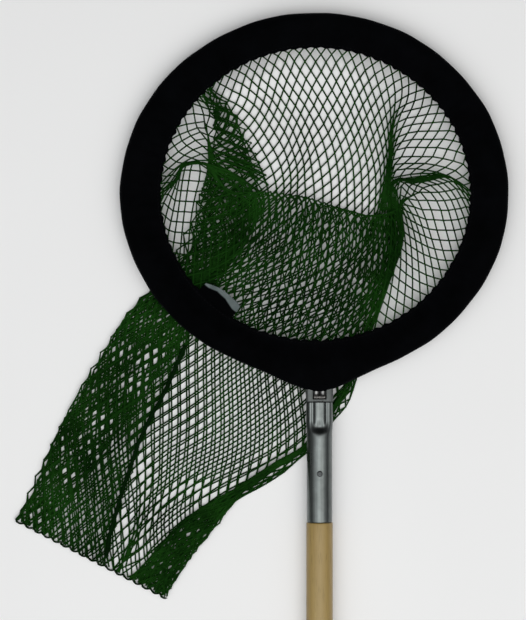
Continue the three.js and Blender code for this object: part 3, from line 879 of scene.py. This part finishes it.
def bag_bars():
    """The two knots of every bar, in four groups in which no knot comes twice."""
    column, row = np.meshgrid(np.arange(COLUMNS), np.arange(HALF_ROWS))
    groups = []
    for parity in (0, 1):
        here = row % 2 == parity
        for lean in (0, 1):
            other = (column + parity + lean - 1) % COLUMNS
            start = (row * COLUMNS + column)[here]
            groups.append((start, ((row + 1) * COLUMNS + other)[here]))
    return groups


def settle_bag(knots, hold, rounds):
    """Draws together the knots of every bar that is longer than its twine, with the mouth and bottom held.
    hold says how firmly each knot keeps to where it was laid."""
    weight = np.ones(len(knots))
    weight[:COLUMNS] = weight[-COLUMNS:] = 0
    start = knots.copy()
    groups = bag_bars()
    for _ in range(rounds):
        for a, b in groups:
            offset = knots[b] - knots[a]
            over = np.maximum(np.linalg.norm(offset, axis=1) - BAR, 0)
            flat = np.maximum(np.linalg.norm(offset[:, :2], axis=1), 1e-6)
            total = np.maximum(weight[a] + weight[b], 1e-9)
            move = offset[:, :2] * (over / flat / total)[:, None]
            knots[a, :2] += move * weight[a][:, None]
            knots[b, :2] -= move * weight[b][:, None]
        knots[:, :2] += (start[:, :2] - knots[:, :2]) * (hold * weight)[:, None]
    return knots


def bag_knots():
    """The place of every knot, row by row from the mouth, as the bag lies collapsed on the floor."""
    paths = hoop_paths()
    guides = [path[0] for path in HOOP_PATHS] + [HOOP_PATHS[0][0] + 360]
    leaves = [path[1] for path in HOOP_PATHS] + [HOOP_PATHS[0][1] + 360]
    upper = HALF_ROWS - TAIL_ROWS
    knots = np.empty((HALF_ROWS + 1, COLUMNS, 4))
    for row in range(HALF_ROWS + 1):
        share = MOUTH_ANGLE + 360 * (np.arange(COLUMNS) + 0.5 * (row % 2)) / COLUMNS
        if row >= upper:
            knots[row] = tail_row(HALF_ROWS - row, share)
            continue
        for k in range(4):
            knots[row, :, k] = np.interp(share, guides, paths[:, row, k])
    knots = knots.reshape(-1, 4)
    x = HOOP_X + knots[:, 0] * MM
    y = HOOP_Y + knots[:, 1] * MM
    ply = knots[:, 3]
    sway = wandering(x, y, 0.9 * ply, np.random.default_rng(5))
    x = x + SWAY * (0.6 + 0.25 * ply) * sway[0]
    y = y + SWAY * (0.6 + 0.25 * ply) * sway[1]
    inside = np.hypot(x - HOOP_X, (y - HOOP_Y) / SQUASH) < OPENING + 6 * MM
    height = FLOOR_GAP + (knots[:, 2] * MM + ply * PLY) * (1 + 0.2 * sway[2])
    cap = cover_underside(x, y) - TWINE
    z = FLOOR + height
    z = np.where(inside, z, np.minimum(z, np.maximum(cap, FLOOR + FLOOR_GAP)))
    placed = np.stack([x, y, z], axis=-1)
    share = MOUTH_ANGLE + 360 * np.arange(COLUMNS) / COLUMNS
    mouth_angle = np.radians(np.interp(share, guides, leaves))
    placed[:COLUMNS] = on_hoop(mouth_angle, OPENING + MOUTH_REACH * MM, -0.2 * MM)
    hold = np.where(np.arange(len(placed)) < upper * COLUMNS, 0.004, 0.05)
    return settle_bag(placed, hold, 100)


def wandering(x, y, shift, random):
    """Three slow, smooth noises over the floor, from about -1 to 1, so that no fold is ruler-straight.
    Knots with another shift get another noise, so that two plies never lie exactly alike."""
    fields = []
    for _ in range(3):
        total = np.zeros_like(x)
        for length in (150, 90, 55, 34):
            heading, phase = random.uniform(0, 2 * np.pi, 2)
            waves = (x * np.cos(heading) + y * np.sin(heading)) / (length * MM)
            total += np.sin(waves * 2 * np.pi + phase + shift)
        fields.append(total / 2.4)
    return fields


def net_strands(knots):
    """The knots that each strand runs through: one family leans left going down, the other right."""
    grid = np.arange((HALF_ROWS + 1) * COLUMNS).reshape(HALF_ROWS + 1, COLUMNS)
    strands = []
    for lean in (-1, 0):
        for first in range(COLUMNS):
            column, run = first, []
            for row in range(HALF_ROWS + 1):
                run.append(grid[row, column % COLUMNS])
                column += (row % 2) + lean
            strands.append(knots[run])
    return np.array(strands)


def strand_tubes(strands, radius, sides):
    """Closed tubes along many strands of equal length: vertices, faces and UVs along and round each one."""
    count, steps = strands.shape[:2]
    tangent = unit(np.gradient(strands, axis=1))
    side = unit(np.cross(tangent, (0, 0, 1.0)))
    top = np.cross(side, tangent)
    turn = np.linspace(0, 2 * np.pi, sides, endpoint=False)
    ring = np.cos(turn)[:, None] * side[:, :, None] + np.sin(turn)[:, None] * top[:, :, None]
    vertices = (strands[:, :, None] + radius * ring).reshape(-1, 3)
    along = np.arange(steps) * BAR
    uv = np.stack(np.meshgrid(along, turn * radius, indexing="ij"), axis=-1)
    uv = np.broadcast_to(uv, (count, steps, sides, 2)).reshape(-1, 2)
    tube = [f[::-1] for f in grid_faces(steps, sides, wrap_columns=True)]
    tube += [tuple(range(sides)), tuple(steps * sides - 1 - j for j in range(sides))]
    faces = [tuple(k + s * steps * sides for k in f) for s in range(count) for f in tube]
    return vertices, faces, uv


def net_joints(knots):
    """The thicker joint where strands meet, as a small closed eight-sided bead drawn out along the bag."""
    rows = knots.reshape(HALF_ROWS + 1, COLUMNS, 3)
    down = unit(np.gradient(rows, axis=0).reshape(-1, 3))
    side = unit(np.cross(down, (0, 0, 1.0)))
    top = np.cross(side, down)
    end, flank, crown = down * BEAD_HALF[0], side * BEAD_HALF[1], top * BEAD_HALF[2]
    corners = [end, flank, crown, -flank, -crown, -end]
    vertices = np.stack([knots + c for c in corners], axis=1).reshape(-1, 3)
    bead = [(0, 1, 2), (0, 2, 3), (0, 3, 4), (0, 4, 1), (5, 2, 1), (5, 3, 2), (5, 4, 3), (5, 1, 4)]
    faces = [tuple(v + 6 * k for v in f) for k in range(len(knots)) for f in bead]
    return vertices, faces


def net_bag(knots):
    """Every strand and joint of the bag, as one piece."""
    tubes, tube_faces, tube_uv = strand_tubes(net_strands(knots), TWINE, sides=6)
    beads, bead_faces = net_joints(knots)
    vertices = np.vstack([tubes, beads])
    faces = tube_faces + [tuple(v + len(tubes) for v in f) for f in bead_faces]
    uv = np.vstack([tube_uv, beads[:, :2]])
    bag = fix_normals(mesh_object("net_bag", vertices, faces, NETTING, uv))
    nodes = ("net_bag_mouth", "net_bag_skirt", "net_bag_throat", "net_bag_tail", "mouth_cord")
    return settle(bag, "green_netting", *nodes)


def lacing(name, path, node, radius, turns):
    """A seam laced shut: a cord along the path with a finer twine wound round it."""
    path = np.asarray(path)
    core = swept(name + "_cord", path, radius, LACING, 8)
    settle(core, "green_twine", node)
    fine = smooth_path(path, turns * 8 + 1)
    phase = np.linspace(0, 2 * np.pi * turns, len(fine))
    wound = fine.copy()
    reach = radius + 0.35 * MM
    wound[:, 0] += reach * np.cos(phase)
    wound[:, 2] += reach * np.sin(phase) * 0.8
    wound[:, 2] = np.maximum(wound[:, 2], FLOOR + 0.5 * MM)
    settle(swept(name + "_twine", wound, 0.45 * MM, LACING, 6), "green_twine")


def seams(knots):
    """The seam along the tail's top ply, from the bottom up to the cover, and the one across the bottom."""
    rows = knots.reshape(HALF_ROWS + 1, COLUMNS, 3)
    column = round((SEAM_SHARE - MOUTH_ANGLE) / 360 * COLUMNS)
    side = rows[HALF_ROWS - TAIL_ROWS :, column].copy()
    side[:, 2] += 2.2 * MM
    under_cover = cover_underside(side[:, 0], side[:, 1]) < 0
    first = int(np.nonzero(under_cover)[0][-1]) + 1 if under_cover.any() else 0
    side = smooth_path(side[first:][::2], 60)
    lacing("side_seam", side, "net_side_seam", 1.9 * MM, 26)
    steps = 240
    scallop_width = 10.2
    width = np.interp(0, *zip(*TAIL_PLACES["right"]))
    across = np.linspace(0, width, steps)
    scallop = -0.6 - 2.6 * np.abs(np.sin(np.pi * across / scallop_width))
    flat = (TAIL_CORNER + across[:, None] * TAIL_ACROSS + scallop[:, None] * TAIL_ALONG) * MM
    height = np.full(steps, FLOOR + 2.4 * MM)
    bottom = np.stack([HOOP_X + flat[:, 0], HOOP_Y + flat[:, 1], height], axis=-1)
    lacing("bottom_seam", bottom, "net_bottom_seam", 0.9 * MM, 24)


def foam_core():
    """The padding inside the cover, in one length of split tube round the rod."""
    around, across = 240, 28
    angle = np.linspace(0, 2 * np.pi, around, endpoint=False)[:, None]
    turn = np.linspace(0, 2 * np.pi, across, endpoint=False)[None, :]
    radius = ROD_CIRCLE + 0.5 * MM + 11.5 * MM * np.cos(turn)
    points = drawn_to_neck(on_hoop(angle, radius, 7.5 * MM * np.sin(turn)), 0.4).reshape(-1, 3)
    faces = grid_faces(around, across, wrap_rows=True, wrap_columns=True)
    core = fix_normals(mesh_object("foam_core", points, faces, FOAM))
    return settle(core, "foam", "hoop_foam")


camera()
studio()
padded_cover()
stitch_line()
neck_hem()
blank_label()
foam_core()
hoop_rod()
ferrule()
collar()
weld()
screw()
handle()
knots = bag_knots()
net_bag(knots)
seams(knots)
